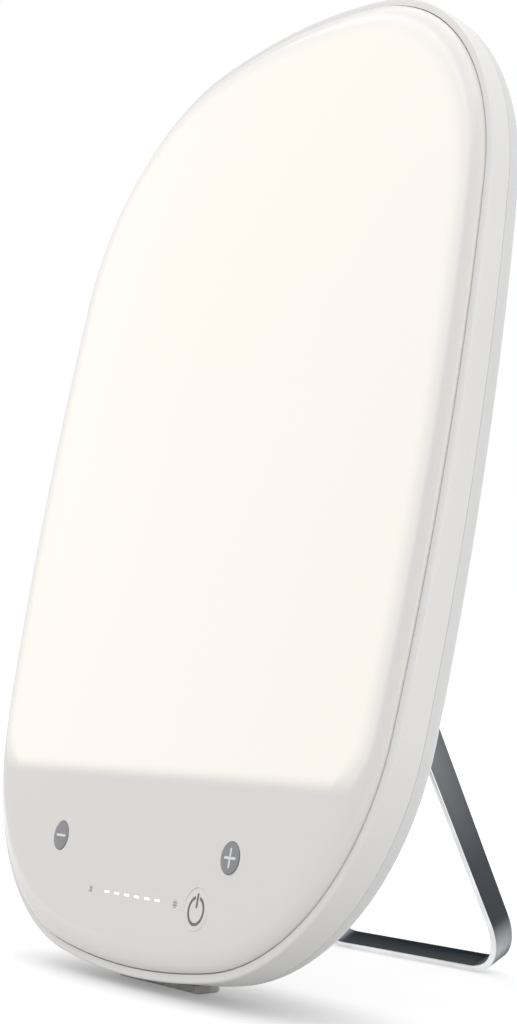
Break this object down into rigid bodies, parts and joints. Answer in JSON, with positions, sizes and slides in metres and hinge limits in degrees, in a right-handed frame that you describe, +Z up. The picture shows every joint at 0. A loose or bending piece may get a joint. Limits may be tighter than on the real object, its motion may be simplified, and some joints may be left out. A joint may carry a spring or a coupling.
{
  "type": "light therapy lamp",
  "caption": "Slim rounded light therapy panel with an opal front, dimming and power keys, and a folding flat-bar stand hinged to its back.",
  "frame": {"origin": "centre of the flat underside of the rubber foot, on the surface that the lamp stands on", "axes": "+Z up; the light panel faces -Y and leans back 12 degrees; the plus and power keys are on the +X side; the stand reaches back towards +Y"},
  "size_m": [0.2926, 0.1457, 0.3901],
  "materials": {
    "opal_cover": "satin opal, lit from behind above the keys",
    "white_housing": "fine satin white",
    "white_back_shell": "fine satin white",
    "seal_foam": "dark closed-cell foam",
    "opal_sheet": "matt opal",
    "clear_acrylic": "clear, polished",
    "white_film": "white reflective film",
    "chassis_aluminium": "mill",
    "strip_board": "white circuit board with light sources",
    "key_grey": "satin grey",
    "switch_black": "black",
    "board_green": "solder mask green",
    "lead_black": "black insulation",
    "screw_steel": "zinc plated",
    "bracket_steel": "dark nickel",
    "pin_steel": "bright",
    "washer_nylon": "natural nylon",
    "stand_steel": "dark polished",
    "foot_rubber": "matt black"
  },
  "bodies": {
    "panel": {"back_shell": "white_back_shell", "case_screw_1": "screw_steel", "case_screw_2": "screw_steel", "case_screw_3": "screw_steel", "case_screw_4": "screw_steel", "case_screw_5": "screw_steel", "case_screw_6": "screw_steel", "chassis_plate": "chassis_aluminium", "control_board": "board_green", "control_board_screw_1": "screw_steel", "control_board_screw_2": "screw_steel", "control_board_screw_3": "screw_steel", "control_board_screw_4": "screw_steel", "cover_gasket": "seal_foam", "dc_inlet": "switch_black", "diffuser_sheet": "opal_sheet", "driver_board": "board_green", "driver_board_screw_1": "screw_steel", "driver_board_screw_2": "screw_steel", "driver_board_screw_3": "screw_steel", "driver_board_screw_4": "screw_steel", "friction_washer_left": "washer_nylon", "friction_washer_right": "washer_nylon", "front_cover": "opal_cover", "hinge_bracket_left": "bracket_steel", "hinge_bracket_right": "bracket_steel", "hinge_pin_left": "pin_steel", "hinge_pin_right": "pin_steel", "hinge_screw_left_1": "screw_steel", "hinge_screw_left_2": "screw_steel", "hinge_screw_right_1": "screw_steel", "hinge_screw_right_2": "screw_steel", "housing_frame": "white_housing", "indicator_light_pipe": "clear_acrylic", "led_lead_left": "lead_black", "led_lead_right": "lead_black", "led_strip_left": "strip_board", "led_strip_right": "strip_board", "light_guide": "clear_acrylic", "reflector_sheet": "white_film", "rubber_foot": "foot_rubber", "tact_switch_minus": "switch_black", "tact_switch_plus": "switch_black", "tact_switch_power": "switch_black"},
    "stand": {"stand_bar": "stand_steel"},
    "minus_button": {"minus_key": "key_grey"},
    "plus_button": {"plus_key": "key_grey"},
    "power_button": {"power_key": "opal_cover"}
  },
  "joints": [
    {"name": "stand_fold", "type": "hinge", "parent": "panel", "child": "stand", "pos_m": [0, 0.04882, 0.15762], "axis": [-1, 0, 0], "range_deg": [0, 36.5]},
    {"name": "minus_press", "type": "slide", "parent": "panel", "child": "minus_button", "axis": [0, 0.9783, -0.2071], "range_m": [0, 0.0005], "stiffness_N_per_m": 800, "springref_m": -0.0005},
    {"name": "plus_press", "type": "slide", "parent": "panel", "child": "plus_button", "axis": [0, 0.9783, -0.2071], "range_m": [0, 0.0005], "stiffness_N_per_m": 800, "springref_m": -0.0005},
    {"name": "power_press", "type": "slide", "parent": "panel", "child": "power_button", "axis": [0, 0.9783, -0.2071], "range_m": [0, 0.0005], "stiffness_N_per_m": 800, "springref_m": -0.0005}
  ]
}
